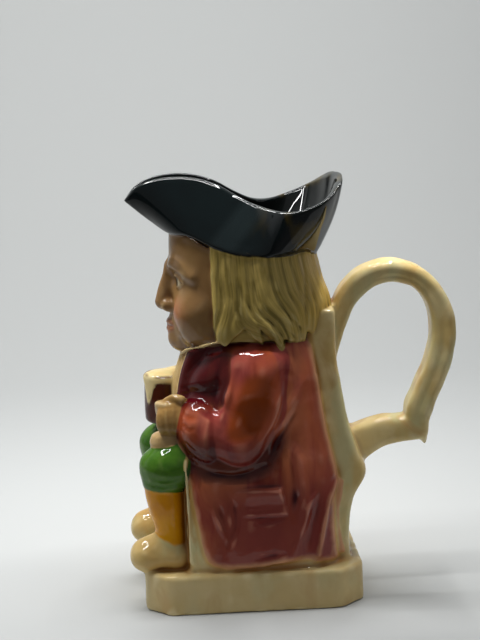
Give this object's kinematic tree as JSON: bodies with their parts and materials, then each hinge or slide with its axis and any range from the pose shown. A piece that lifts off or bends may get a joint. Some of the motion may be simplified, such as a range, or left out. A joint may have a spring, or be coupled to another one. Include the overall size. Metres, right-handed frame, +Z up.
{
  "type": "toby jug",
  "caption": "Pottery jug shaped as a seated figure in a tricorn hat with a mug; open at the hat, strap handle behind.",
  "frame": {"origin": "middle of the flat underside of the base", "axes": "+Z up, -X is the way the figure faces, +X is the handle's side, -Y is the figure's left"},
  "size_m": [0.1908, 0.1011, 0.2424],
  "materials": {
    "glaze": "glossy hand-painted glaze: black hat, straw hair, red-brown coat, green and amber legs, cream base"
  },
  "bodies": {
    "root": {"toby_jug": "glaze"}
  },
  "joints": []
}
